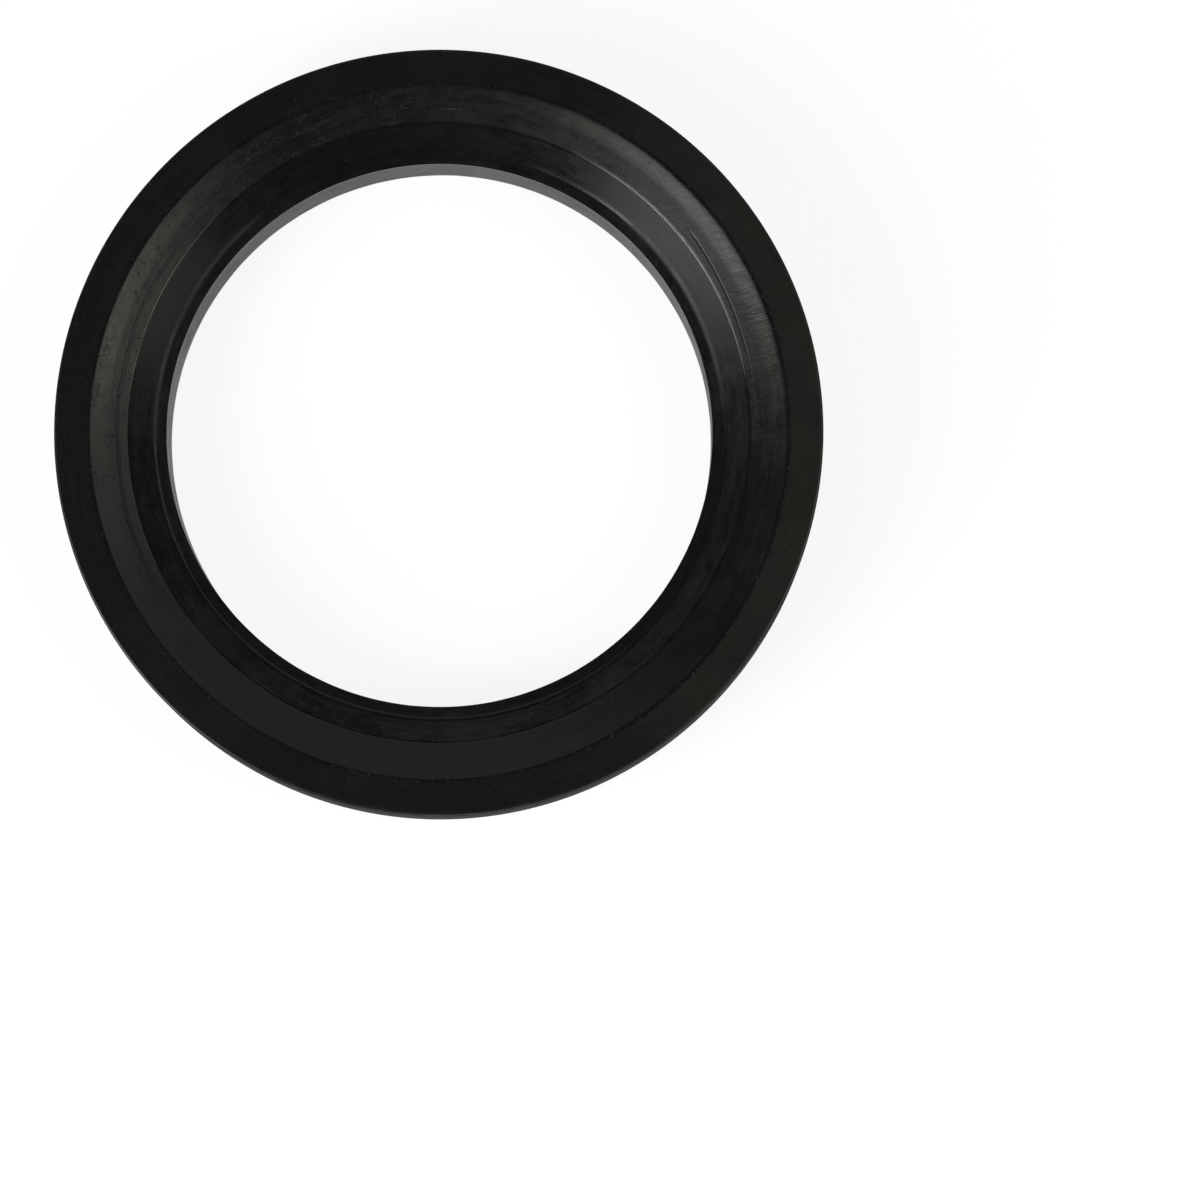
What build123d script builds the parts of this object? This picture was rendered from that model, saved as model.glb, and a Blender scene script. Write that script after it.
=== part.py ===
from build123d import *
import os

# Radial shaft seal: a moulded rubber ring bonded round a pressed steel case,
# with a garter spring in a groove behind its sealing lip.
#
# Millimetres. The bore's axis is Z. The front (air side) faces +Z, and the oil
# side, with the spring and the open channel, faces -Z. Z = 0 is the back face
# of the lip head, on which the free seal rests.

# ---------------------------------------------------------------- fits
shaft_diameter = 90.0
section_width = 17.5            # radial space from the shaft to the housing bore
lip_interference = 0.4          # free sealing lip inside the shaft's radius
dust_lip_interference = 0.3    # free dust lip inside the shaft's radius
press_allowance = 0.15          # rubber body outside the housing bore's radius
rim_overlap = 0.1               # front rim outside the rubber body's radius

# ---------------------------------------------------------------- heights
body_height = 16.5              # front face to back face
lip_reach = 4.5                 # the lip head stands this far behind the back face

# ---------------------------------------------------------------- outside
rim_width = 2.5
rim_round = 0.6
rim_back_round = 0.3
groove_width = 3.7              # groove between the front rim and the press-fit wall
groove_floor_round = 0.4
wall_edge_round = 0.2
back_corner_round = 1.0

# ---------------------------------------------------------------- dished front
face_width = 5.6                # flat annulus, from the rim inwards
crease_round = 4.0
shoulder_drop = 2.1             # flat annulus down to the shoulder
shoulder_round = 0.3
throat_width = 4.0              # steep cone, from the shoulder to the throat
throat_drop = 3.9
throat_round = 1.2

# ---------------------------------------------------------------- dust lip
dust_lip_width = 2.15           # throat to the dust lip's edge
dust_lip_drop = 0.4
dust_land = 0.3                 # short cylinder on the dust lip's edge
relief_height = 2.1             # dust lip's land down to the relief behind it
relief_round = 0.8

# ---------------------------------------------------------------- sealing lip
contact_width = 0.5             # short cylinder on the sealing edge
lip_edge_height = 1.4           # head's back face up to the sealing edge
relief_depth = 2.3              # sealing edge out to the relief between the lips
nose_width = 3.3               # sealing edge out to the head's back face
nose_round = 4.4
head_width = 8.2                # sealing edge out to the head's back outer edge
head_flare = 0.3                # the spring's front wall stands out further
head_edge_round = 0.25
stem_thickness = 2.4            # flexing wall, where it leaves the relief
neck_width = 1.6                # spring's front wall narrows to the neck over this
neck_drop = 0.6
neck_edge_round = 0.6
neck_height = 3.6               # spring's front wall up to the parallel stem
neck_round = 2.0
channel_round = 1.8             # stem into the channel's floor
channel_edge_round = 0.25       # back face into the channel

# ---------------------------------------------------------------- garter spring
coil_diameter = 2.5
spring_clearance = 0.1
spring_seat_depth = 0.7         # coil's centre inside the head's outer edge
spring_back_wall = 0.7          # rubber behind the spring's groove
spring_front_wall = 0.5

# ---------------------------------------------------------------- steel case
case_thickness = 1.0
case_bend_radius = 0.5          # inside of the bend
case_cover = 2.55               # rubber outside the case's sleeve
groove_cover = 0.6              # rubber left over the sleeve under the groove
case_end_cover = 1.5            # rubber behind the sleeve's open end
flange_front_cover = 2.4        # rubber in front of the flange at the shoulder
flange_back_cover = 1.0         # rubber behind the flange, the channel's floor
flange_edge_cover = 0.6         # flange's inner edge outside the stem

# ---------------------------------------------------------------- derived radii
shaft_radius = shaft_diameter / 2
lip_radius = shaft_radius - lip_interference
dust_lip_radius = shaft_radius - dust_lip_interference
body_radius = shaft_radius + section_width + press_allowance
rim_radius = body_radius + rim_overlap
face_radius = rim_radius - face_width
throat_radius = dust_lip_radius + dust_lip_width
shoulder_radius = throat_radius + throat_width
relief_radius = lip_radius + relief_depth
stem_radius = relief_radius + stem_thickness
nose_radius = lip_radius + nose_width
head_radius = lip_radius + head_width
head_front_radius = head_radius + head_flare
neck_radius = head_front_radius - neck_width
spring_ring_radius = head_radius - spring_seat_depth
spring_groove_radius = coil_diameter / 2 + spring_clearance
sleeve_outer_radius = body_radius - case_cover
sleeve_inner_radius = sleeve_outer_radius - case_thickness
groove_radius = sleeve_outer_radius + groove_cover
flange_inner_radius = stem_radius + flange_edge_cover

# ---------------------------------------------------------------- derived heights
back_z = lip_reach
front_z = back_z + body_height
groove_front_z = front_z - rim_width
groove_back_z = groove_front_z - groove_width
shoulder_z = front_z - shoulder_drop
throat_z = shoulder_z - throat_drop
dust_lip_z = throat_z - dust_lip_drop
dust_land_z = dust_lip_z - dust_land
relief_z = dust_land_z - relief_height
contact_z = lip_edge_height + contact_width
spring_z = spring_back_wall + spring_groove_radius
head_front_z = spring_z + spring_groove_radius + spring_front_wall
neck_z = head_front_z + neck_drop
stem_z = head_front_z + neck_height
flange_front_z = shoulder_z - flange_front_cover
flange_back_z = flange_front_z - case_thickness
channel_z = flange_back_z - flange_back_cover
sleeve_end_z = back_z + case_end_cover


def outline(corners):
    """Closed face in the XZ plane. Each corner is (radius, height, rounding)."""
    points = [(radius, height) for radius, height, rounding in corners]
    roundings = [rounding for radius, height, rounding in corners]
    with BuildSketch(Plane.XZ) as face:
        with BuildLine():
            FilletPolyline(*points, radius=roundings, close=True)
        make_face()
    return face.sketch


def turned(face):
    """The solid ring that a face in the XZ plane makes round the Z axis."""
    return revolve(face, axis=Axis.Z)


def case_face():
    """L-section: a sleeve under the press-fit wall and a flange behind the front."""
    return outline([
        (sleeve_inner_radius, sleeve_end_z, 0),
        (sleeve_outer_radius, sleeve_end_z, 0),
        (sleeve_outer_radius, flange_front_z, case_bend_radius + case_thickness),
        (flange_inner_radius, flange_front_z, 0),
        (flange_inner_radius, flange_back_z, 0),
        (sleeve_inner_radius, flange_back_z, case_bend_radius),
    ])


def body_face():
    """Section of the rubber with the case still filled in, without the spring's groove."""
    front = [
        (dust_lip_radius, dust_lip_z, 0),
        (throat_radius, throat_z, throat_round),
        (shoulder_radius, shoulder_z, shoulder_round),
        (face_radius, front_z, crease_round),
    ]
    outside = [
        (rim_radius, front_z, rim_round),
        (rim_radius, groove_front_z, rim_back_round),
        (groove_radius, groove_front_z, groove_floor_round),
        (groove_radius, groove_back_z, groove_floor_round),
        (body_radius, groove_back_z, wall_edge_round),
        (body_radius, back_z, back_corner_round),
    ]
    channel = [
        (sleeve_inner_radius, back_z, channel_edge_round),
        (sleeve_inner_radius, channel_z, 0),
        (stem_radius, channel_z, channel_round),
        (stem_radius, stem_z, neck_round),
        (neck_radius, neck_z, neck_edge_round),
    ]
    sealing_lip = [
        (head_front_radius, head_front_z, head_edge_round),
        (head_radius, 0, head_edge_round),
        (nose_radius, 0, nose_round),
        (lip_radius, lip_edge_height, 0),
        (lip_radius, contact_z, 0),
        (relief_radius, relief_z, relief_round),
        (dust_lip_radius, dust_land_z, 0),
    ]
    return outline(front + outside + channel + sealing_lip)


def spring_groove_face():
    with BuildSketch(Plane.XZ) as face:
        with Locations((spring_ring_radius, spring_z)):
            Circle(spring_groove_radius)
    return face.sketch


steel_case = turned(case_face())
rubber_body = turned(body_face() - case_face() - spring_groove_face())
garter_spring = Pos(0, 0, spring_z) * Torus(spring_ring_radius, coil_diameter / 2)

os.makedirs("parts", exist_ok=True)
export_step(rubber_body, "parts/rubber_body.step")
export_step(steel_case, "parts/steel_case.step")
export_step(garter_spring, "parts/garter_spring.step")
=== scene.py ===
"""Radial shaft seal: moulded rubber ring, wound garter spring and pressed steel case.

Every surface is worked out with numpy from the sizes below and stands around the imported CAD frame.
Sizes in the functions are millimetres, and meshes are put down in metres.
"""
import math

import bpy
import numpy as np
from mathutils import Matrix, Vector


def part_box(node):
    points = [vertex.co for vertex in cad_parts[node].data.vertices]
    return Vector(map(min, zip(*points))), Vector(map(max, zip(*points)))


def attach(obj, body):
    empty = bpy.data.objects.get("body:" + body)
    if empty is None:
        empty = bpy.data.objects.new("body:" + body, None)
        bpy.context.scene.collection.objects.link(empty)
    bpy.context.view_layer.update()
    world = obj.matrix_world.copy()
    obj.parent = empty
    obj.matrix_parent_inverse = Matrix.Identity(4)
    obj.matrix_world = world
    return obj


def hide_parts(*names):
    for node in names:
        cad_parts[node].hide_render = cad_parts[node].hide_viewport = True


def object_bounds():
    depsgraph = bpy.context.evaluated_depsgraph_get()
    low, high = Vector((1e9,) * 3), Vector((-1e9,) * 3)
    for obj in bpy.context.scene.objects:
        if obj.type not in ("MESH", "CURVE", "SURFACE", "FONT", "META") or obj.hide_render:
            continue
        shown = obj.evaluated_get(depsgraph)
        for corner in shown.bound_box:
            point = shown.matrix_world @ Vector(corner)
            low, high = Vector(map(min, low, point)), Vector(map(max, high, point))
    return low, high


bl_info = {
    "name": "Radial shaft seal",
    "version": (1, 0, 0),
    "blender": (4, 5, 0),
    "location": "3D View > Sidebar > Shaft seal",
    "description": "Builds a rubber shaft seal with its garter spring and steel case",
    "category": "Add Mesh",
}

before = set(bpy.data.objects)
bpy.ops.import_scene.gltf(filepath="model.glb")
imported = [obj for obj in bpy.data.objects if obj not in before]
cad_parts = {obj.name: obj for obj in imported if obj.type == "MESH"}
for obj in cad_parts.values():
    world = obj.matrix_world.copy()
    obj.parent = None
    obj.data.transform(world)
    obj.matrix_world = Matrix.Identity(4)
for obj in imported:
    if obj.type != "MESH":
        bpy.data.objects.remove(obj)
CAD_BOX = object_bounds()
RIM_RADIUS = CAD_BOX[1].x * 1000
FRONT_Z = CAD_BOX[1].z * 1000
COIL_RADIUS = (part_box("garter_spring")[1].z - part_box("garter_spring")[0].z) * 500
SPRING_Z = (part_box("garter_spring")[1].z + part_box("garter_spring")[0].z) * 500
SPRING_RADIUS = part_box("garter_spring")[1].x * 1000 - COIL_RADIUS
SLEEVE_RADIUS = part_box("steel_case")[1].x * 1000
SLEEVE_END_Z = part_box("steel_case")[0].z * 1000
FLANGE_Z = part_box("steel_case")[1].z * 1000
MM = 0.001
TURN = 2 * math.pi
# faces round the ring
RUBBER_STEPS, CASE_STEPS = 300, 288
# where the finish changes across the front, in millimetres from the axis
FOOT, SHOULDER, CREASE = 46.7, 50.85, 57.1


# ---------------------------------------------------------------- settings

def length(name, description, millimetres):
    """A size that a user may change, kept in metres."""
    return bpy.props.FloatProperty(
        name=name, description=description, default=millimetres * MM, unit="LENGTH", precision=5,
    )


def colour(name, description, value):
    """A linear colour that a user may change."""
    return bpy.props.FloatVectorProperty(
        name=name, description=description, default=value, subtype="COLOR", size=3, min=0, max=1,
    )


def share(name, description, value):
    """A number from nothing to all."""
    return bpy.props.FloatProperty(
        name=name, description=description, default=value, subtype="FACTOR", min=0, max=1,
    )


class SealRubber(bpy.types.PropertyGroup):
    """Sizes and finish of the moulded rubber."""
    face_width: length("Face width", "Flat annulus from the rim inwards", 5.65)
    crease_round: length("Crease rounding", "Rounding from the flat face into the dish", 2.2)
    shoulder_radius: length("Shoulder radius", "Foot of the dished cone", 50.85)
    shoulder_drop: length("Shoulder drop", "Front face down to the shoulder", 2.1)
    band_radius: length("Band radius", "Where the cone's outer band begins", 54.2)
    band_drop: length("Band drop", "Front face down to that place", 1.04)
    throat_radius: length("Throat radius", "Foot of the steep cone", 46.8)
    throat_drop: length("Throat drop", "Shoulder down to the throat", 4.0)
    dust_lip_radius: length("Dust lip radius", "Free edge of the dust lip", 44.7)
    lip_radius: length("Lip radius", "Free sealing edge", 44.6)
    relief_radius: length("Relief radius", "Hollow between the two lips", 46.9)
    rim_width: length("Rim width", "Front face down to the groove", 2.5)
    groove_width: length("Groove width", "Groove behind the rim", 3.7)
    groove_radius: length("Groove radius", "Floor of that groove", 60.7)
    back_z: length("Back height", "Back face above the lip head's back", 4.5)
    head_radius: length("Head radius", "Lip head's back outer edge", 52.8)
    base: colour("Rubber", "Black nitrile rubber", (0.0038, 0.0038, 0.0037))
    olive: colour("Olive haze", "Thin bloom on the rubber", (0.0155, 0.0152, 0.0125))
    plum: colour("Plum haze", "Purplish bloom on the rubber", (0.0155, 0.0128, 0.0145))
    slate: colour("Slate haze", "Bluish bloom on the rubber", (0.0115, 0.0128, 0.0130))
    rubbed: colour("Rubbed lip", "Greyish pink where the bore side is rubbed", (0.024, 0.0195, 0.018))
    # painted sheen: this greyish brown lightens the outer band's hatch marks on the side that reflects the
    # lamps
    worn: colour("Worn cone", "Greyish brown of the cone's worn outer band", (0.038, 0.0355, 0.028))
    dust: colour("Dust", "Dust caught in the groove and on the edges", (0.11, 0.10, 0.09))
    roughness: share("Roughness", "Roughness of the plain moulded face", 0.31)


class SealSpring(bpy.types.PropertyGroup):
    """Sizes and finish of the garter spring."""
    wire: length("Wire", "Diameter of the spring wire", 0.5)
    turns: bpy.props.IntProperty(name="Turns", description="Close-wound turns", default=586, min=60)
    steel: colour("Spring steel", "Oiled spring wire", (0.42, 0.40, 0.38))
    roughness: share("Roughness", "Roughness of the drawn wire", 0.3)


class SealCase(bpy.types.PropertyGroup):
    """Sizes and finish of the pressed case."""
    thickness: length("Thickness", "Sheet thickness", 1.0)
    bend: length("Bend", "Inside radius of the bend", 0.5)
    flange_radius: length("Flange radius", "Inner edge of the flange", 49.9)
    steel: colour("Case steel", "Phosphated sheet", (0.12, 0.12, 0.115))
    roughness: share("Roughness", "Roughness of the phosphated sheet", 0.5)


class SealStage(bpy.types.PropertyGroup):
    """Floor, lamps and camera."""
    floor: colour("Floor", "Plain pale floor", (0.92, 0.92, 0.92))
    shine: share("Shine", "White that the floor gives by itself to the camera", 0.87)
    shade: share("Shade", "Part of the floor's own colour left there to hold a shadow", 0.18)
    camera_distance: bpy.props.FloatProperty(
        name="Camera distance", description="From the front face's centre", default=1.25, unit="LENGTH",
    )
    lens: bpy.props.FloatProperty(
        name="Lens", description="Focal length on a 36 mm sensor", default=229.9, subtype="DISTANCE_CAMERA",
    )


# ---------------------------------------------------------------- numbers to meshes

def rounded(corners, spacing, support=0.1):
    """Closed outline of the section with an arc at each corner.

    corners has a row for each corner: radius, height, rounding, arc steps, then the finish of the
    run that follows it. A corner with rounding q whose two runs stand at the angle 2h gives its
    place to an arc that starts q / tan(h) along each run, about a centre q / sin(h) along the
    bisector. Runs then get a point `support` beside each arc and one at least every `spacing`.
    Returns the columns radius, height, finish..., distance along the outline.
    """
    spot, rounding, steps, finish = corners[:, :2], corners[:, 2:3], corners[:, 3].astype(int), corners[:, 4:]
    back, on = np.roll(spot, 1, axis=0) - spot, np.roll(spot, -1, axis=0) - spot
    back, on = (v / np.linalg.norm(v, axis=1, keepdims=True) for v in (back, on))
    half = np.arccos(np.clip((back * on).sum(axis=1, keepdims=True), -1, 1)) / 2
    middle = (back + on) / np.maximum(np.linalg.norm(back + on, axis=1, keepdims=True), 1e-9)
    centre = spot + middle * rounding / np.sin(half)
    first, last = (spot + v * rounding / np.tan(half) - centre for v in (back, on))
    start, end = (np.arctan2(v[:, 1], v[:, 0]) for v in (first, last))
    sweep = (end - start + math.pi) % TURN - math.pi
    steps = np.where(rounding[:, 0] > 0, steps, 0)
    owner = np.repeat(np.arange(len(spot)), steps + 1)
    local = np.arange(len(owner)) - np.repeat(np.cumsum(steps + 1) - steps - 1, steps + 1)
    part = (local / np.maximum(steps[owner], 1))[:, None]
    angle = start[owner] + sweep[owner] * part[:, 0]
    place = centre[owner] + rounding[owner] * np.stack([np.cos(angle), np.sin(angle)], axis=1)
    look = np.roll(finish, 1, axis=0)[owner] * (1 - part) + finish[owner] * part
    look = np.where(steps[owner][:, None] > 0, look, finish[owner])
    rows = np.hstack([place, look])
    rows = np.vstack([rows, rows[:1]])
    station = np.concatenate([[0], np.cumsum(np.linalg.norm(np.diff(rows[:, :2], axis=0), axis=1))])
    run = np.flatnonzero(np.append(owner[1:] != owner[:-1], True))
    low, high = station[run], station[run + 1]
    inset = np.minimum(support, (high - low) / 3)
    fill = [np.linspace(a + i, b - i, 2 + int((b - a) / spacing)) for a, b, i in zip(low, high, inset)]
    where = np.unique(np.round(np.concatenate([station[:-1], *fill]), 5))
    where = where[np.append(np.diff(where) > 1e-3, True) & (where < station[-1] - 1e-3)]
    columns = [np.interp(where, station, c) for c in rows.T]
    return np.stack([*columns, where], axis=1)


def grid_mesh(name, points, uv, crease_angle=34.0):
    """Mesh of a closed grid: rows run along the first parameter and columns along the second.

    Each face joins a point to the next in its row and column, and the last joins the first, so the
    surface has no edge. uv holds the two lengths for one more row and column than the points.
    """
    rows, columns = points.shape[:2]
    index = np.arange(rows * columns).reshape(rows, columns)
    down, right = np.roll(index, -1, axis=0), np.roll(index, -1, axis=1)
    faces = np.stack([index, down, np.roll(down, -1, axis=1), right], axis=-1).reshape(-1, 4)
    mesh = bpy.data.meshes.new(name)
    mesh.vertices.add(rows * columns)
    mesh.vertices.foreach_set("co", (points * MM).astype(np.float32).ravel())
    mesh.loops.add(faces.size)
    mesh.loops.foreach_set("vertex_index", faces.astype(np.int32).ravel())
    mesh.polygons.add(len(faces))
    mesh.polygons.foreach_set("loop_start", np.arange(0, faces.size, 4, dtype=np.int32))
    mesh.update(calc_edges=True)
    place = np.stack([uv[:-1, :-1], uv[1:, :-1], uv[1:, 1:], uv[:-1, 1:]], axis=2)
    mesh.uv_layers.new(name="Surface").data.foreach_set("uv", place.astype(np.float32).ravel())
    mesh.shade_smooth()
    mesh.set_sharp_from_angle(angle=math.radians(crease_angle))
    mesh.validate()
    return mesh


def put(name, mesh, node, material):
    """Links a finished piece at the origin in place of its CAD node."""
    mesh.materials.append(material)
    piece = bpy.data.objects.new(name, mesh)
    bpy.context.scene.collection.objects.link(piece)
    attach(piece, "root")
    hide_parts(node)
    return piece


def attribute(mesh, name, values):
    """Stores a number for each vertex."""
    mesh.attributes.new(name, "FLOAT", "POINT").data.foreach_set("value", values.astype(np.float32).ravel())


def ripple(angle, harmonics, seed):
    """Seamless waver around the ring: a sum of cosines of the angle times each harmonic, with
    seeded phases and equal weights, scaled to stay within one.
    """
    phase = np.random.default_rng(seed).uniform(0, TURN, len(harmonics))
    waves = np.cos(np.multiply.outer(angle, np.array(harmonics)) + phase)
    return waves.mean(axis=-1)


# ---------------------------------------------------------------- sections

def spring_groove(head_back, head_front, radius):
    """Corners of the spring's seat: a circle about the coil's centre, walked through the rubber
    from where it leaves the head's outer face at the front to where it leaves it at the back.

    The face is the line from head_front to head_back. Its distance d from the centre along its
    unit normal n gives the two ends at the angles n +- acos(d / radius).
    """
    middle = np.array([SPRING_RADIUS, SPRING_Z])
    along = (head_back - head_front) / np.linalg.norm(head_back - head_front)
    normal = np.array([-along[1], along[0]])
    reach = float((head_front - middle) @ normal)
    heading, opening = math.atan2(normal[1], normal[0]), math.acos(reach / radius)
    angle = np.linspace(heading + opening, heading + TURN - opening, 17)
    return middle + radius * np.stack([np.cos(angle), np.sin(angle)], axis=1)


def rubber_corners(s):
    """Corners of the rubber's section, clockwise from the dust lip, with the case's pocket in it."""
    sizes = ("radius", "drop", "width", "round", "z")
    mm = {k: getattr(s, k) / MM for k in SealRubber.__annotations__ if k.endswith(sizes)}
    body = RIM_RADIUS - 0.1
    front, shoulder_z = FRONT_Z, FRONT_Z - mm["shoulder_drop"]
    throat_z = shoulder_z - mm["throat_drop"]
    groove_front = front - mm["rim_width"]
    groove_back = groove_front - mm["groove_width"]
    back, inner = mm["back_z"], SLEEVE_RADIUS - 1.0
    stem = mm["relief_radius"] + 2.4
    head, head_front = mm["head_radius"], mm["head_radius"] + 0.3
    head_z = SPRING_Z + COIL_RADIUS + 0.6
    lip = mm["lip_radius"]
    seat = spring_groove(np.array([head, 0.0]), np.array([head_front, head_z]), COIL_RADIUS + 0.1)
    # radius, height, rounding, arc steps, then satin, trimmed and dusty for the run that follows
    before = [
        (mm["dust_lip_radius"], throat_z - 0.4, 0.06, 2, 0.7, 0.0, 0.0),
        (mm["throat_radius"], throat_z, 1.6, 8, 0.8, 0.0, 0.0),
        (mm["shoulder_radius"], shoulder_z, 0.25, 5, 1.0, 0.0, 0.0),
        (mm["band_radius"], front - mm["band_drop"], 20.0, 3, 1.0, 0.0, 0.0),
        (RIM_RADIUS - mm["face_width"], front, mm["crease_round"], 7, 0.0, 0.0, 0.0),
        (RIM_RADIUS, front, 0.42, 8, 0.2, 0.0, 0.5),
        (RIM_RADIUS, groove_front, 0.3, 4, 0.0, 0.0, 1.0),
        (mm["groove_radius"], groove_front, 0.4, 4, 0.0, 0.0, 1.0),
        (mm["groove_radius"], groove_back, 0.4, 4, 0.0, 0.0, 1.0),
        (body, groove_back, 0.2, 4, 0.5, 0.0, 0.15),
        (body, back, 1.0, 8, 0.1, 0.0, 0.1),
        (inner, back, 0.25, 4, 0.0, 0.0, 0.3),
        (inner, SLEEVE_END_Z, 0.0, 0, 0.0, 0.0, 0.0),
        (SLEEVE_RADIUS, SLEEVE_END_Z, 0.0, 0, 0.0, 0.0, 0.0),
        (SLEEVE_RADIUS, FLANGE_Z, 1.5, 6, 0.0, 0.0, 0.0),
        (stem + 0.6, FLANGE_Z, 0.0, 0, 0.0, 0.0, 0.0),
        (stem + 0.6, FLANGE_Z - 1.0, 0.0, 0, 0.0, 0.0, 0.0),
        (inner, FLANGE_Z - 1.0, 0.5, 4, 0.0, 0.0, 0.0),
        (inner, FLANGE_Z - 2.0, 0.0, 0, 0.0, 0.0, 0.3),
        (stem, FLANGE_Z - 2.0, 1.8, 8, 0.3, 0.0, 0.2),
        (stem, head_z + 3.6, 2.0, 6, 0.3, 0.0, 0.1),
        (head_front - 1.6, head_z + 0.6, 0.6, 4, 0.3, 0.0, 0.1),
        (head_front, head_z, 0.25, 4, 0.3, 0.0, 0.0),
    ]
    after = [
        (head, 0.0, 0.25, 4, 0.1, 0.0, 0.1),
        (lip + 3.3, 0.0, 4.4, 12, 0.6, 1.0, 0.0),
        (lip, 1.4, 0.0, 0, 0.5, 1.0, 0.0),
        (lip, 1.9, 0.0, 0, 0.9, 0.0, 0.0),
        (mm["relief_radius"], throat_z - 2.8, 0.8, 6, 0.5, 0.0, 0.0),
        (mm["dust_lip_radius"], throat_z - 0.7, 0.0, 0, 0.6, 0.0, 0.0),
    ]
    seat_rows = np.column_stack([seat, np.tile([0.0, 0.0, 0.1, 0.0, 0.0], (len(seat), 1))])
    seat_rows[[0, -1], 2:4] = (0.12, 3)
    return np.vstack([before, seat_rows, after])


def case_corners(s):
    """Corners of the case's section: the sleeve, and the flange turned in at its front."""
    thick, bend = s.thickness / MM, s.bend / MM
    inner, flange = SLEEVE_RADIUS - thick, s.flange_radius / MM
    return np.array([
        (flange, FLANGE_Z, 0.1, 2, 0.0),
        (SLEEVE_RADIUS, FLANGE_Z, bend + thick, 10, 0.0),
        (SLEEVE_RADIUS, SLEEVE_END_Z, 0.1, 2, 0.0),
        (inner, SLEEVE_END_Z, 0.1, 2, 0.0),
        (inner, FLANGE_Z - thick, bend, 6, 0.0),
        (flange, FLANGE_Z - thick, 0.1, 2, 0.0),
    ])


def turned(name, outline, segments, waver=None):
    """Surface of the section carried round the bore's axis.

    A point of the outline at radius r and height z goes to (r cos t, r sin t, z) for each angle t
    of the circle. waver adds a small change to r and z that depends on t and on the outline.
    """
    angle = np.arange(segments) / segments * TURN
    radius, height = (np.repeat(outline[:, k:k + 1], segments, axis=1) for k in (0, 1))
    if waver:
        change = waver(angle[None, :], radius, height)
        radius, height = radius + change[0], height + change[1]
    points = np.stack([radius * np.cos(angle), radius * np.sin(angle), height], axis=-1)
    ends = np.append(outline[:, -1], outline[-1, -1] + np.linalg.norm(outline[0, :2] - outline[-1, :2]))
    along, across = np.meshgrid(np.arange(segments + 1) / segments, ends / 100, indexing="xy")
    return grid_mesh(name, points, np.stack([along, across], axis=-1))


# ---------------------------------------------------------------- node graphs

class Finish:
    """A material's node graph, built by naming what feeds each socket."""

    def __init__(self, name):
        self.material = bpy.data.materials.new(name)
        self.material.use_nodes = True
        self.tree = self.material.node_tree
        self.shader = self.tree.nodes["Principled BSDF"]

    def feed(self, socket, value):
        """A socket takes a link from another socket, or a plain number or colour."""
        if isinstance(value, bpy.types.NodeSocket):
            self.tree.links.new(value, socket)
        elif hasattr(socket.default_value, "__len__") and not isinstance(value, (int, float)):
            socket.default_value = (*value, 1.0)[:len(socket.default_value)]
        else:
            socket.default_value = value

    def node(self, kind, feeds, **settings):
        """A node with its settings, and what feeds its sockets by place or name."""
        made = self.tree.nodes.new("ShaderNode" + kind)
        for key, value in settings.items():
            setattr(made, key, value)
        for key, value in feeds.items():
            self.feed(made.inputs[key], value)
        return made

    def sum(self, operation, *values, clamp=False):
        """Arithmetic on numbers."""
        return self.node("Math", dict(enumerate(values)), operation=operation, use_clamp=clamp).outputs[0]

    def vector(self, operation, *values, output=0):
        """Arithmetic on vectors."""
        return self.node("VectorMath", dict(enumerate(values)), operation=operation).outputs[output]

    def scaled(self, vector, size):
        """A vector made longer or shorter."""
        made = self.node("VectorMath", {0: vector}, operation="SCALE")
        made.inputs["Scale"].default_value = size
        return made.outputs[0]

    def ramp(self, value, low, high, start=0.0, end=1.0, smooth=True):
        """Takes the value from start to end while it goes from low to high."""
        kind = "SMOOTHSTEP" if smooth else "LINEAR"
        feeds = {"Value": value, "From Min": low, "From Max": high, "To Min": start, "To Max": end}
        return self.node("MapRange", feeds, interpolation_type=kind).outputs[0]

    def noise(self, place, scale, detail=2.0, roughness=0.5, distortion=0.0):
        """Fractal noise from nothing to one."""
        feeds = {"Vector": place, "Scale": scale, "Detail": detail, "Roughness": roughness,
                 "Distortion": distortion}
        return self.node("TexNoise", feeds).outputs["Fac"]

    def blend(self, part, one, other):
        """Mixes two colours."""
        made = self.node("Mix", {}, data_type="RGBA")
        for key, value in ((0, part), (6, one), (7, other)):
            self.feed(made.inputs[key], value)
        return made.outputs[2]

    def read(self, name):
        """A number stored on the mesh."""
        return self.node("Attribute", {}, attribute_name=name).outputs["Fac"]

    def places(self):
        """Place in millimetres, the unit vector from the axis, and the distance from the axis."""
        place = self.scaled(self.node("TexCoord", {}).outputs["Object"], 1 / MM)
        flat = self.vector("MULTIPLY", place, (1, 1, 0))
        return place, self.vector("NORMALIZE", flat), self.vector("LENGTH", flat, output=1)

    def ringwise(self, outward, along, round_scale, path_scale):
        """Seamless place for marks that run round the ring: the unit vector times round_scale, with
        the distance along the section times path_scale as its height.
        """
        spun = self.scaled(outward, round_scale)
        lift = self.node("CombineXYZ", {2: self.sum("MULTIPLY", along, path_scale)}).outputs[0]
        return self.vector("ADD", spun, lift)

    def lobe(self, outward, azimuth, reach):
        """One round about that azimuth, in degrees, and nothing from `reach` degrees to either side."""
        towards = (math.cos(math.radians(azimuth)), math.sin(math.radians(azimuth)), 0)
        near = self.vector("DOT_PRODUCT", outward, towards, output=1)
        return self.ramp(near, math.cos(math.radians(reach)), math.cos(math.radians(reach * 0.6)))

    def line(self, off, width):
        """One where `off` is nothing, fading out at `width` to either side."""
        return self.ramp(self.sum("ABSOLUTE", off), 0.0, width, 1.0, 0.0)

    def bump(self, height, millimetres):
        """Normal of a surface raised by height times that many millimetres."""
        return self.node("Bump", {"Height": height, "Distance": millimetres * MM, "Strength": 1.0}).outputs[0]


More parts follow.
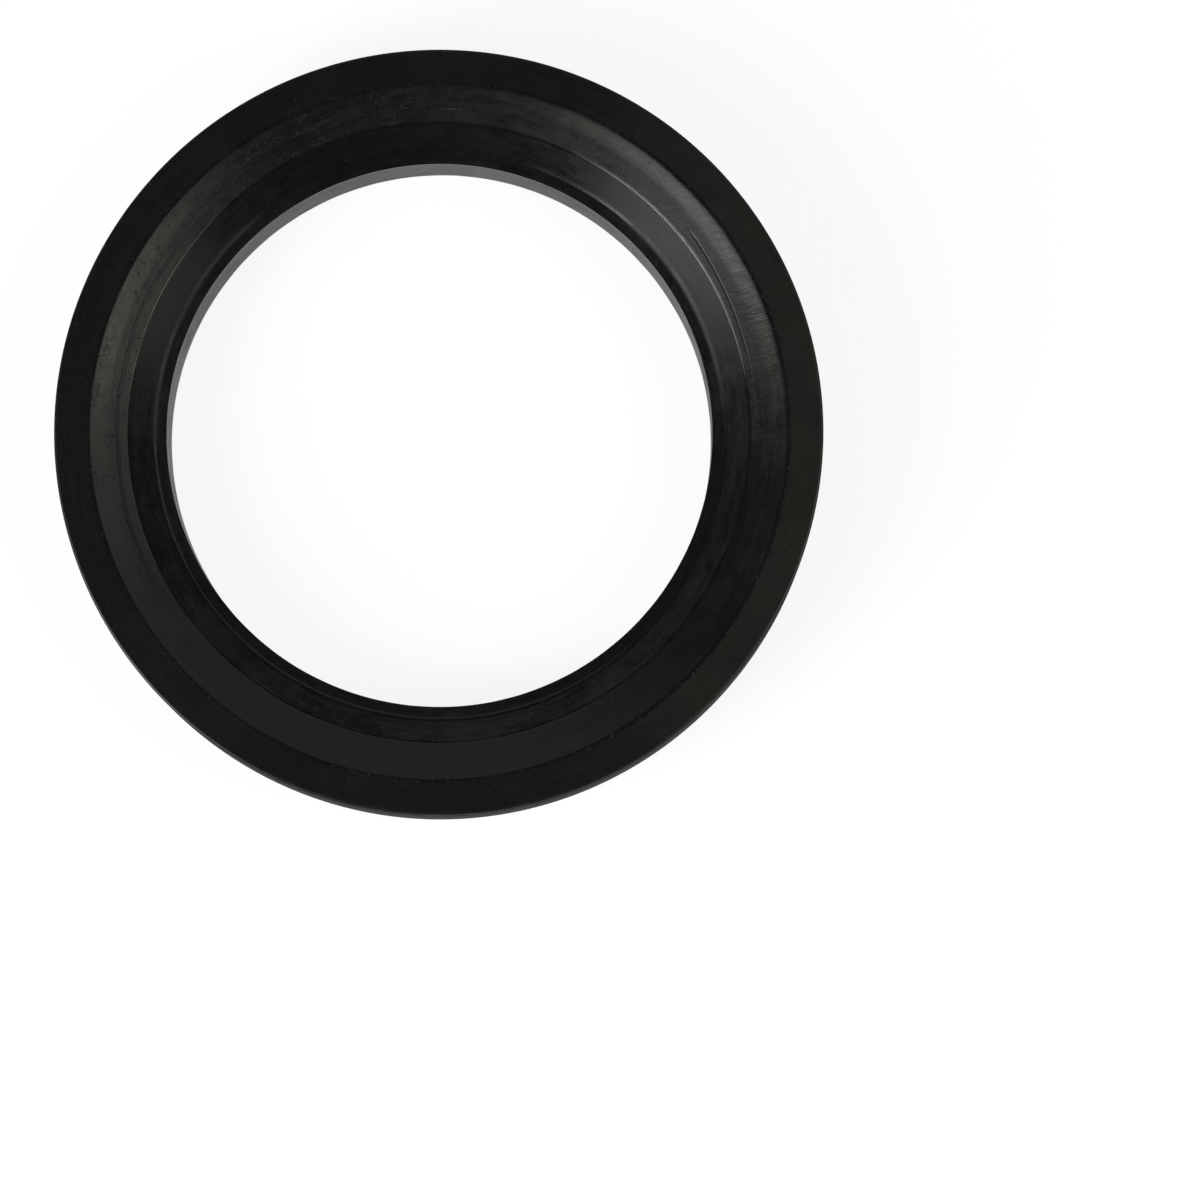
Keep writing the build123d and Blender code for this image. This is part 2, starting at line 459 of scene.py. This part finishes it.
def rubber_marks(f, place, outward, distance, along):
    """Marks of use on the front, each a mask from nothing to one, by name.

    crack: hairlines between the cells of a bent Voronoi pattern, on one side of the cone only.
    cut: a score whose distance from the axis is 51.9 mm plus 4.4 mm times the fourth power of the
    sine of the azimuth, with a mask for the raised edge beside it, which both raises that edge and
    paints a pale highlight on it. seam: a soft dark line round part of the cone. grit: a cluster of
    pale grains. dots: a short row of bright dots. wave: ripples across the cone, from a noise that
    changes fast along a line aslant to Y and slowly across it. hatch: the sine of the place along that
    line, bent by the noise and broken up, strongest on the outer band, which outer marks. The shoulder
    mask is a painted highlight along the shoulder on the two sides where it reflects the lamps. stain:
    brownish spots.
    """
    cone = f.sum("MULTIPLY", f.ramp(distance, 50.9, 51.3), f.ramp(distance, 56.5, 57.1, 1.0, 0.0))
    warp = f.node("TexNoise", {"Vector": place, "Scale": 0.4, "Detail": 3.0}).outputs["Color"]
    warp = f.scaled(warp, 1.6)
    bent = f.vector("ADD", f.ringwise(outward, along, 17.0, 0.42), warp)
    cells = f.node("TexVoronoi", {"Vector": bent, "Scale": 1.1}, feature="DISTANCE_TO_EDGE")
    crack = f.ramp(cells.outputs["Distance"], 0.0, 0.025, 1.0, 0.0)
    crack = f.sum("MULTIPLY", crack, f.ramp(f.noise(place, 0.3, 3.0, 0.6), 0.5, 0.62))
    crack = f.sum("MULTIPLY", crack, f.sum("MULTIPLY", cone, f.lobe(outward, 160, 34)))
    sine = f.vector("DOT_PRODUCT", outward, (0, 1, 0), output=1)
    off = f.sum("SUBTRACT", distance, f.sum("MULTIPLY_ADD", f.sum("POWER", sine, 4.0), 4.4, 51.9))
    there = f.sum("MULTIPLY", f.ramp(sine, 0.1, 0.42), f.ramp(sine, 0.6, 0.64, 1.0, 0.0))
    there = f.sum("MULTIPLY", there, f.lobe(outward, 24, 50))
    cut = f.sum("MULTIPLY", f.line(off, 0.18), there)
    # raised edge beside the cut: it lifts the surface and is also painted pale as a highlight
    burr_and_glint = f.sum("MULTIPLY", f.line(f.sum("SUBTRACT", off, 0.22), 0.12), there)
    drift = f.sum("SUBTRACT", distance, f.ramp(f.noise(place, 0.06, 1.0), 0.3, 0.7, 52.6, 52.95))
    beside = f.sum("MULTIPLY", f.line(f.sum("ADD", drift, 0.35), 0.16), 0.4)
    seam = f.sum("MAXIMUM", f.sum("MULTIPLY", f.line(drift, 0.17), 0.8), beside)
    seam = f.sum("MULTIPLY", seam, f.lobe(outward, 172, 46))
    fine = f.ringwise(outward, along, 80.0, 3.0)
    grains = f.node("TexVoronoi", {"Vector": fine, "Scale": 1.0}, feature="F1")
    pick = f.node("SeparateColor", {0: grains.outputs["Color"]}).outputs[0]
    grit = f.ramp(f.sum("SUBTRACT", f.ramp(pick, 0.4, 1.0, 0.0, 0.5), grains.outputs["Distance"]), 0.0, 0.12)
    grit = f.sum("MULTIPLY", grit, f.sum("MULTIPLY", cone, f.lobe(outward, -247, 24)))
    grit = f.sum("MULTIPLY", grit, f.ramp(f.noise(place, 0.35, 3.0), 0.4, 0.58))
    row = f.sum("MULTIPLY", f.line(f.sum("SUBTRACT", distance, 53.1), 0.1), f.lobe(outward, -272.6, 2.6))
    dots = f.sum("MULTIPLY", row, f.ramp(f.noise(place, 3.0, 1.0), 0.5, 0.56))
    aslant = f.vector("DOT_PRODUCT", place, (-0.31, 0.95, 0), output=1)
    ripples = f.node("CombineXYZ", {0: aslant, 1: f.sum("MULTIPLY", along, 0.3)}).outputs[0]
    right = f.sum("MULTIPLY", cone, f.lobe(outward, 32, 48))
    wave = f.sum("MULTIPLY", f.noise(ripples, 0.8, 2.0, 0.5, 0.3), right)
    outer = f.sum("MULTIPLY", f.ramp(distance, 53.6, 55.8), f.ramp(distance, 56.1, 56.6, 1.0, 0.0))
    outer = f.sum("MULTIPLY", outer, f.lobe(outward, 38, 40))
    strokes = f.sum("MULTIPLY_ADD", outer, 0.6, f.sum("MULTIPLY", right, 0.4))
    phase = f.sum("MULTIPLY_ADD", f.noise(ripples, 0.5, 2.0, 0.6), 16.0, f.sum("MULTIPLY", aslant, 12.6))
    comb = f.sum("MULTIPLY_ADD", f.sum("SINE", phase), 0.2, 0.5)
    comb = f.sum("MULTIPLY", comb, f.ramp(f.noise(ripples, 1.6, 1.0), 0.3, 0.6, 0.3, 1.0))
    hatch = f.sum("MULTIPLY", comb, strokes)
    # painted highlight: a pale line along the shoulder on the two sides where it reflects the lamps
    painted_ridge_highlight = f.sum("MULTIPLY", f.lobe(outward, 147, 14), 0.25)
    painted_ridge_highlight = f.sum("MAXIMUM", f.lobe(outward, 36, 29), painted_ridge_highlight)
    painted_ridge_highlight = f.sum("MULTIPLY", f.line(f.sum("SUBTRACT", distance, 50.86), 0.13), painted_ridge_highlight)
    stain = f.sum("MULTIPLY", f.ramp(f.noise(place, 1.0, 3.0, 0.6), 0.52, 0.68), f.lobe(outward, 160, 26))
    stain = f.sum("MULTIPLY", stain, cone)
    return {"crack": crack, "cut": cut, "burr_and_glint": burr_and_glint, "seam": seam, "grit": grit, "dots": dots,
            "wave": wave, "hatch": hatch, "outer": outer, "painted_ridge_highlight": painted_ridge_highlight, "stain": stain}


def rubber_finish(s):
    """Black moulded nitrile: soft haze, long streaks round the ring, fine grain, marks and dust.

    The haze mixes the base colour with an olive, plum and slate bloom. It is the product of broad
    clouds and smaller patches, plus shares of the streaks, and is thinner on the flat face and in the
    throat. It also carries painted shade and light: it is taken away in a dark line where the flat
    face turns into the dish and thinned at some azimuths, and it is thickened on the flat face towards
    +X. A greyish brown painted sheen lightens the hatch marks of the outer band on one side, and a
    pale painted highlight lies along the shoulder and beside the cut. Roughness and height are sums
    of the same noises and of the marks. The side wall is rougher than the front.
    """
    f = Finish("moulded_nitrile_rubber")
    place, outward, distance = f.places()
    along = f.read("path")
    satin, trimmed, dusty = (f.read(n) for n in ("satin", "trimmed", "dusty"))
    marks = rubber_marks(f, place, outward, distance, along)
    clouds = f.noise(place, 0.07, 3.0, 0.5, 0.3)
    patches = f.noise(place, 0.3, 3.0, 0.5)
    mottle = f.noise(f.ringwise(outward, along, 30.0, 1.0), 1.0, 2.0, 0.5)
    streaks = f.noise(f.ringwise(outward, along, 5.0, 1.2), 1.0, 1.6, 0.5)
    fine_streaks = f.noise(f.ringwise(outward, along, 7.0, 7.0), 1.0, 3.0, 0.55)
    wisps = f.noise(f.ringwise(outward, along, 12.0, 0.6), 1.0, 2.0, 0.5)
    grain = f.noise(place, 3.6, 3.0, 0.7)
    face = f.ramp(distance, 57.0, 57.7)
    throat = f.ramp(distance, 50.2, 51.0, 1.0, 0.2)
    level = f.node("SeparateXYZ", {0: place}).outputs[2]
    bore = f.sum("MULTIPLY", f.ramp(level, 10.5, 12.0, 1.0, 0.0), f.ramp(distance, 46.8, 47.2, 1.0, 0.0))
    bore = f.sum("MULTIPLY", bore, f.ramp(level, 1.5, 1.75))
    wall = f.ramp(distance, RIM_RADIUS - 0.16, RIM_RADIUS - 0.1)
    haze_and_shade = f.sum("MULTIPLY", f.ramp(clouds, 0.34, 0.7), f.ramp(patches, 0.3, 0.75, 0.05, 0.3))
    haze_and_shade = f.sum("MULTIPLY_ADD", f.sum("MULTIPLY", f.ramp(wisps, 0.3, 0.8), throat), 0.17, haze_and_shade)
    haze_and_shade = f.sum("MULTIPLY_ADD", f.ramp(streaks, 0.3, 0.75), 0.24, haze_and_shade)
    haze_and_shade = f.sum("MULTIPLY_ADD", f.ramp(mottle, 0.4, 0.7), 0.1, haze_and_shade)
    haze_and_shade = f.sum("MULTIPLY", haze_and_shade, f.sum("MULTIPLY_ADD", face, -0.75, 1.0))
    haze_and_shade = f.sum("MULTIPLY", haze_and_shade, f.sum("MULTIPLY_ADD", throat, -0.45, 1.09))
    haze_and_shade = f.sum("MULTIPLY", haze_and_shade, f.ramp(grain, 0.3, 0.7, 0.75, 1.25))
    # painted shade: the haze is thinned at these azimuths, darkening those sides of the cone and of the flat
    # face
    painted_shade_sides = f.sum("MAXIMUM", f.lobe(outward, 102, 64), f.lobe(outward, -33, 40))
    painted_shade_sides = f.blend(face, painted_shade_sides, f.lobe(outward, -128, 44))
    haze_and_shade = f.sum("MULTIPLY", haze_and_shade, f.sum("MULTIPLY_ADD", painted_shade_sides, -0.55, 1.0))
    # painted light: thicker haze on the flat face towards +X lightens that side
    haze_and_shade = f.sum("MULTIPLY_ADD", f.sum("MULTIPLY", face, f.lobe(outward, 0, 70)), 0.55, haze_and_shade, clamp=True)
    # painted shade: a dark line where the flat face turns into the dish, made by taking the haze away
    painted_crease_shade = f.line(f.sum("SUBTRACT", distance, CREASE), 0.6)
    haze_and_shade = f.sum("MULTIPLY", haze_and_shade, f.sum("MULTIPLY_ADD", painted_crease_shade, -0.9, 1.0))
    tint = f.sum("MULTIPLY", f.ramp(f.noise(place, 0.3, 3.0, 0.5), 0.42, 0.6), 0.7)
    tint = f.sum("MULTIPLY", tint, f.sum("SUBTRACT", 1.0, face))
    warm = f.blend(tint, tuple(s.olive), tuple(s.plum))
    hue = f.blend(f.ramp(f.noise(place, 0.09, 3.0, 0.6), 0.46, 0.6), warm, tuple(s.slate))
    speck_cells = f.node("TexVoronoi", {"Vector": place, "Scale": 1.1}, feature="F1")
    pick = f.node("SeparateColor", {0: speck_cells.outputs["Color"]})
    size = f.ramp(pick.outputs[0], 0.88, 1.0, 0.0, 0.15, smooth=False)
    specks = f.sum("LESS_THAN", speck_cells.outputs["Distance"], size)
    specks = f.sum("MULTIPLY", specks, f.ramp(dusty, 0.2, 0.8, 0.3, 0.9))
    film = f.sum("MULTIPLY", dusty, f.ramp(patches, 0.42, 0.75, 0.0, 0.3))
    caught = f.line(f.sum("SUBTRACT", distance, 57.3), 0.35)
    caught = f.sum("MULTIPLY", caught, f.ramp(f.noise(place, 2.4, 3.0), 0.6, 0.72))
    film = f.sum("MAXIMUM", film, f.sum("MULTIPLY", caught, 0.3))
    film = f.sum("MAXIMUM", film, f.sum("MULTIPLY", marks["grit"], 0.14))
    film = f.sum("MAXIMUM", film, f.sum("MULTIPLY", marks["dots"], 0.7))
    colour_now = f.blend(haze_and_shade, tuple(s.base), hue)
    # painted sheen: the outer band's hatch marks are lightened greyish brown only on the side that reflects
    # the lamps; the hatch pattern itself is surface texture
    worn = f.sum("MULTIPLY", marks["outer"], f.ramp(marks["hatch"], 0.0, 0.7, 0.25, 0.75))
    colour_now = f.blend(worn, colour_now, tuple(s.worn))
    colour_now = f.blend(f.sum("MULTIPLY", marks["stain"], 0.3), colour_now, tuple(s.rubbed))
    # painted highlight: pale colour along the shoulder and on the raised edge beside the cut
    bright = f.sum("MAXIMUM", f.sum("MULTIPLY", marks["burr_and_glint"], 0.6), marks["painted_ridge_highlight"])
    colour_now = f.blend(f.sum("MULTIPLY", bright, 0.6), colour_now, (0.26, 0.25, 0.23))
    rubbed = f.ramp(fine_streaks, 0.3, 0.7, 0.5, 1.0)
    colour_now = f.blend(f.sum("MULTIPLY", bore, rubbed), colour_now, tuple(s.rubbed))
    colour_now = f.blend(f.sum("MAXIMUM", specks, film), colour_now, tuple(s.dust))
    dark = f.sum("MAXIMUM", marks["cut"], marks["seam"])
    dark = f.sum("MAXIMUM", marks["crack"], dark)
    colour_now = f.blend(f.sum("MULTIPLY", dark, 0.8), colour_now, (0.002, 0.002, 0.002))
    f.feed(f.shader.inputs["Base Color"], colour_now)
    polish = f.line(f.sum("SUBTRACT", distance, SHOULDER), 0.4)
    rough = f.sum("MULTIPLY_ADD", satin, -0.04, s.roughness)
    rough = f.sum("MULTIPLY_ADD", trimmed, -0.06, rough)
    lip_face = f.sum("MULTIPLY", f.ramp(level, 12.5, 13.5), f.ramp(distance, 46.5, 46.8, 1.0, 0.0))
    rough = f.sum("MULTIPLY_ADD", polish, -0.15, rough)
    rough = f.sum("MULTIPLY_ADD", lip_face, -0.07, rough)
    rough = f.sum("ADD", rough, f.ramp(grain, 0.3, 0.7, -0.045, 0.045))
    foot = f.sum("MAXIMUM", f.lobe(outward, 30, 22), f.lobe(outward, 158, 30))
    foot = f.sum("MULTIPLY_ADD", foot, 0.27, -0.05)
    rough = f.sum("MULTIPLY_ADD", f.line(f.sum("SUBTRACT", distance, FOOT), 0.8), foot, rough)
    rough = f.sum("MULTIPLY_ADD", marks["outer"], -0.05, rough)
    vary = f.sum("ADD", f.ramp(patches, 0.3, 0.7, -0.02, 0.03), f.ramp(clouds, 0.3, 0.7, -0.03, 0.04))
    vary = f.sum("ADD", vary, f.ramp(mottle, 0.3, 0.7, -0.015, 0.02))
    vary = f.sum("ADD", vary, f.ramp(streaks, 0.25, 0.75, -0.03, 0.03))
    vary = f.sum("ADD", vary, f.sum("MULTIPLY", f.ramp(wisps, 0.3, 0.7, -0.02, 0.03), throat))
    rough = f.sum("MULTIPLY_ADD", vary, f.sum("MULTIPLY_ADD", face, -0.5, 1.0), rough)
    rough = f.sum("ADD", rough, f.sum("MULTIPLY", f.ramp(fine_streaks, 0.3, 0.7, -0.05, 0.08), bore))
    rough = f.sum("MULTIPLY_ADD", dusty, 0.24, rough)
    rough = f.sum("MULTIPLY_ADD", painted_crease_shade, -0.08, rough)
    rough = f.sum("MULTIPLY_ADD", dark, 0.5, rough)
    f.feed(f.shader.inputs["Roughness"], f.sum("MAXIMUM", rough, f.sum("MULTIPLY", wall, 0.9)))
    f.shader.inputs["IOR"].default_value = 1.5
    f.shader.inputs["Specular IOR Level"].default_value = 0.3
    height = f.sum("MULTIPLY_ADD", streaks, 0.4, f.sum("MULTIPLY", grain, 0.22))
    height = f.sum("MULTIPLY_ADD", f.sum("MULTIPLY", wisps, throat), 0.25, height)
    height = f.sum("MULTIPLY_ADD", mottle, 0.3, height)
    height = f.sum("MULTIPLY_ADD", f.sum("MULTIPLY", patches, f.sum("SUBTRACT", 1.0, face)), 0.5, height)
    height = f.sum("MULTIPLY_ADD", f.sum("MULTIPLY", fine_streaks, bore), 0.3, height)
    height = f.sum("MULTIPLY_ADD", marks["wave"], 1.5, height)
    height = f.sum("MULTIPLY_ADD", marks["hatch"], 0.5, height)
    height = f.sum("MULTIPLY_ADD", dark, -2.0, height)
    height = f.sum("MULTIPLY_ADD", f.sum("MAXIMUM", marks["burr_and_glint"], marks["grit"]), 1.2, height)
    f.feed(f.shader.inputs["Normal"], f.bump(height, 0.02))
    return f.material


def spring_finish(s):
    """Drawn spring wire under a film of oil: fine grain and darker spots."""
    f = Finish("oiled_spring_wire")
    place = f.places()[0]
    spots = f.noise(place, 1.6, 4.0, 0.6)
    fine = f.noise(place, 9.0, 2.0, 0.5)
    dark = f.ramp(spots, 0.45, 0.75, 0.0, 0.55)
    f.feed(f.shader.inputs["Base Color"], f.blend(dark, tuple(s.steel), (0.10, 0.085, 0.07)))
    f.feed(f.shader.inputs["Roughness"], f.sum("ADD", s.roughness, f.ramp(fine, 0.3, 0.7, -0.08, 0.12)))
    f.shader.inputs["Metallic"].default_value = 1.0
    f.feed(f.shader.inputs["Normal"], f.bump(fine, 0.004))
    return f.material


def case_finish(s):
    """Phosphated drawn sheet: fine crystals, marks of the die along the sleeve and brown bond primer."""
    f = Finish("phosphated_case_steel")
    place, outward = f.places()[:2]
    along = f.read("path")
    crystals = f.noise(place, 14.0, 3.0, 0.7)
    drawn = f.noise(f.ringwise(outward, along, 3.0, 6.0), 1.0, 3.0, 0.6)
    primer = f.noise(place, 0.5, 4.0, 0.6)
    shade = f.blend(f.ramp(primer, 0.5, 0.7, 0.0, 0.8), tuple(s.steel), (0.035, 0.027, 0.022))
    shade = f.blend(f.ramp(crystals, 0.3, 0.8, 0.0, 0.4), shade, (0.05, 0.05, 0.05))
    f.feed(f.shader.inputs["Base Color"], shade)
    f.feed(f.shader.inputs["Roughness"], f.sum("ADD", s.roughness, f.ramp(drawn, 0.3, 0.7, -0.1, 0.15)))
    f.shader.inputs["Metallic"].default_value = 0.8
    height = f.sum("MULTIPLY_ADD", crystals, 0.5, f.sum("MULTIPLY", drawn, 0.6))
    f.feed(f.shader.inputs["Normal"], f.bump(height, 0.01))
    return f.material


# ---------------------------------------------------------------- pieces

def rubber_waver(angle, radius, height):
    """How far the moulding is from a perfect ring, in millimetres.

    The free lips waver by a few hundredths, most at their edges, and the front face sinks by up to
    two hundredths in long low waves. The amount fades with the distance from each lip.
    """
    near_lip = np.exp(-((radius - 44.4) / 1.2) ** 2)
    wide = ripple(angle, (2, 3, 5, 7), 3)
    short = ripple(angle, (17, 29, 43, 61, 83), 5)
    change = near_lip * (0.03 * wide + 0.02 * short)
    dish = (height > 15.5) & (radius < 62.0)
    sink = -0.012 * (1 + ripple(angle, (2, 3, 4, 9), 8)) * dish
    return change, sink


class SEAL_OT_rubber(bpy.types.Operator):
    """Builds the moulded rubber ring with its lips, groove, channel and spring seat."""
    bl_idname = "seal.rubber_ring"
    bl_label = "Rubber ring"

    def execute(self, context):
        s = context.scene.seal_rubber
        outline = rounded(rubber_corners(s), 1.3)
        mesh = turned("rubber_ring", outline, RUBBER_STEPS, rubber_waver)
        for name, column in (("satin", 2), ("trimmed", 3), ("dusty", 4), ("path", 5)):
            attribute(mesh, name, np.repeat(outline[:, column], RUBBER_STEPS))
        put("rubber_ring", mesh, "rubber_body", rubber_finish(s))
        return {"FINISHED"}


class SEAL_OT_spring(bpy.types.Operator):
    """Winds the garter spring in its seat behind the sealing lip."""
    bl_idname = "seal.spring_coils"
    bl_label = "Garter spring"

    def execute(self, context):
        """The wire's centre goes round the coil once a turn while the coil goes round the bore.

        At coil angle c and ring angle t = c / turns the wire's centre stands at the coil's mean
        radius from the ring's centre line, in the plane through the bore's axis. The wire's own
        circle, at angle w, lies in the plane of that direction and of the ring's tangent.
        """
        s = context.scene.seal_spring
        steps, sides, wire = 12, 5, s.wire / MM / 2
        coil = np.arange(s.turns * steps) / steps * TURN
        ring = coil / s.turns
        mean = COIL_RADIUS - wire
        jitter = 0.012 * ripple(ring, (31, 47, 113, 171), 2)
        side = np.arange(sides) / sides * TURN
        reach = mean + jitter[:, None] - 0.012 + wire * np.cos(side)[None, :]
        push = wire * np.sin(side)[None, :]
        out = SPRING_RADIUS + reach * np.cos(coil)[:, None]
        up = SPRING_Z + reach * np.sin(coil)[:, None]
        c, n = np.cos(ring)[:, None], np.sin(ring)[:, None]
        points = np.stack([out * c - push * n, out * n + push * c, up], axis=-1)
        along, across = np.meshgrid(
            np.arange(len(coil) + 1) / steps, np.arange(sides + 1) / sides, indexing="ij")
        mesh = grid_mesh("spring_coils", points, np.stack([along, across], axis=-1), 180)
        put("spring_coils", mesh, "garter_spring", spring_finish(s))
        return {"FINISHED"}


class SEAL_OT_case(bpy.types.Operator):
    """Presses the steel case that stiffens the rubber."""
    bl_idname = "seal.case_ring"
    bl_label = "Steel case"

    def execute(self, context):
        s = context.scene.seal_case
        outline = rounded(case_corners(s), 2.0)
        mesh = turned("case_ring", outline, CASE_STEPS)
        attribute(mesh, "path", np.repeat(outline[:, -1], CASE_STEPS))
        put("case_ring", mesh, "steel_case", case_finish(s))
        return {"FINISHED"}


def floor_finish(s):
    """Matt pale floor. To the camera, to gloss and to glass it shines by itself up to white, and
    what it keeps of its own colour there holds the shadow.
    """
    f = Finish("pale_floor")
    path = f.node("LightPath", {})
    seen = f.sum("MAXIMUM", path.outputs["Is Camera Ray"], path.outputs["Is Glossy Ray"])
    seen = f.sum("MAXIMUM", seen, path.outputs["Is Transmission Ray"])
    kept = tuple(c * s.shade for c in s.floor)
    f.feed(f.shader.inputs["Base Color"], f.blend(seen, tuple(s.floor), kept))
    f.shader.inputs["Roughness"].default_value = 0.9
    f.shader.inputs["Specular IOR Level"].default_value = 0.0
    f.shader.inputs["Emission Color"].default_value = (1, 1, 1, 1)
    f.feed(f.shader.inputs["Emission Strength"], f.sum("MULTIPLY", seen, s.shine))
    return f.material


def studio_world():
    """Dim grey surroundings that the camera sees as white."""
    world = bpy.data.worlds.new("studio")
    world.use_nodes = True
    tree = world.node_tree
    path = tree.nodes.new("ShaderNodeLightPath")
    strength = tree.nodes.new("ShaderNodeMapRange")
    tree.links.new(path.outputs["Is Camera Ray"], strength.inputs["Value"])
    strength.inputs["To Min"].default_value = 0.07
    strength.inputs["To Max"].default_value = 1.0
    tree.nodes["Background"].inputs["Color"].default_value = (1, 1, 1, 1)
    tree.links.new(strength.outputs[0], tree.nodes["Background"].inputs["Strength"])
    return world


WARM, COOL, PLAIN = (1.0, 0.985, 0.89), (0.985, 0.99, 1.0), (1.0, 1.0, 1.0)
# azimuth from +X and how far to either side, elevations, radiance, colour, whether gloss shows it
LAMPS = {
    "key_panel": (-16, 15, 30, 62, 3.8, WARM, True),
    "key_foot": (-21, 15, 1, 30, 0.75, WARM, True),
    "key_side": (18, 17, 45, 64, 1.0, WARM, True),
    "side_panel": (80, 42, 38, 62, 0.48, PLAIN, True),
    "fill_panel": (-149, 20, 42, 63, 3.0, COOL, True),
    "fill_foot": (-148, 23, 1, 42, 1.9, COOL, True),
    "fill_core": (-147, 12, 16, 55, 7.5, COOL, True),
    "top_panel": (0, 30, 62, 118, 0.35, PLAIN, False),
}


def lamp(name, azimuth, spread, low, high, radiance, tint, shows, distance=0.95):
    """Soft panel square to the seal, in degrees round the bore from +X and up from the floor.

    It fills the azimuth to either side by `spread` and the elevation from low to high, and its
    power is radiance times pi times its area, so a white surface that it filled would shine with
    that radiance.
    """
    a, e, half = (math.radians(v) for v in (azimuth, (low + high) / 2, (high - low) / 2))
    direction = Vector((math.cos(a) * math.cos(e), math.sin(a) * math.cos(e), math.sin(e)))
    data = bpy.data.lights.new(name, "AREA")
    data.shape = "RECTANGLE"
    data.size = 2 * distance * max(math.cos(e), 0.5) * math.tan(math.radians(spread))
    data.size_y = 2 * distance * math.tan(half)
    data.energy, data.color = radiance * math.pi * data.size * data.size_y, tint
    panel = bpy.data.objects.new(name, data)
    panel.location = direction * distance
    panel.rotation_mode = "QUATERNION"
    panel.rotation_quaternion = direction.to_track_quat("Z", "Y")
    panel.visible_glossy = shows
    bpy.context.scene.collection.objects.link(panel)


# from the front face's centre to the camera, and the spot on that face's plane that it looks at
CAMERA_SIDE, CAMERA_AIM = (0.0225, -0.1032, 1.0), (0.0263, -0.0277)


class SEAL_OT_stage(bpy.types.Operator):
    """Lays the floor and sets the lamps and the camera."""
    bl_idname = "seal.stage"
    bl_label = "Floor, lamps and camera"

    def execute(self, context):
        s = context.scene.seal_stage
        mesh = bpy.data.meshes.new("floor")
        mesh.from_pydata([(-6, -6, 0), (6, -6, 0), (6, 6, 0), (-6, 6, 0)], [], [(0, 1, 2, 3)])
        mesh.materials.append(floor_finish(s))
        floor = bpy.data.objects.new("floor", mesh)
        context.scene.collection.objects.link(floor)
        context.scene.world = studio_world()
        for name, values in LAMPS.items():
            lamp(name, *values)
        centre = Vector((0, 0, FRONT_Z * MM))
        towards = Vector(CAMERA_SIDE).normalized()
        data = bpy.data.cameras.new("camera")
        data.sensor_width, data.lens = 36, s.lens
        data.clip_start, data.clip_end = 0.05, 50
        camera = bpy.data.objects.new("camera", data)
        place = centre + towards * s.camera_distance
        ahead = (Vector((*CAMERA_AIM, FRONT_Z * MM)) - place).normalized()
        right = ahead.cross(Vector((0, 1, 0))).normalized()
        turn = Matrix((right, right.cross(ahead), -ahead)).transposed()
        camera.matrix_world = Matrix.Translation(place) @ turn.to_4x4()
        context.scene.collection.objects.link(camera)
        context.scene.camera = camera
        context.scene.view_settings.view_transform = "Standard"
        return {"FINISHED"}


class SEAL_PT_panel(bpy.types.Panel):
    """Lists the seal's sizes, colours and build steps."""
    bl_idname = "SEAL_PT_panel"
    bl_label = "Shaft seal"
    bl_space_type = "VIEW_3D"
    bl_region_type = "UI"
    bl_category = "Shaft seal"

    def draw(self, context):
        for settings, operator in STEPS:
            box = self.layout.box()
            group = getattr(context.scene, settings)
            for key in group.__annotations__:
                box.prop(group, key)
            box.operator(operator)


STEPS = (
    ("seal_rubber", "seal.rubber_ring"),
    ("seal_spring", "seal.spring_coils"),
    ("seal_case", "seal.case_ring"),
    ("seal_stage", "seal.stage"),
)
GROUPS = {
    "seal_rubber": SealRubber, "seal_spring": SealSpring, "seal_case": SealCase, "seal_stage": SealStage,
}
CLASSES = (*GROUPS.values(), SEAL_OT_rubber, SEAL_OT_spring, SEAL_OT_case, SEAL_OT_stage, SEAL_PT_panel)


def register():
    for made in CLASSES:
        bpy.utils.register_class(made)
    for name, group in GROUPS.items():
        setattr(bpy.types.Scene, name, bpy.props.PointerProperty(type=group))


def unregister():
    for name in GROUPS:
        delattr(bpy.types.Scene, name)
    for made in reversed(CLASSES):
        bpy.utils.unregister_class(made)


def main():
    register()
    bpy.ops.seal.rubber_ring()
    bpy.ops.seal.spring_coils()
    bpy.ops.seal.case_ring()
    bpy.ops.seal.stage()


if __name__ == "__main__":
    main()
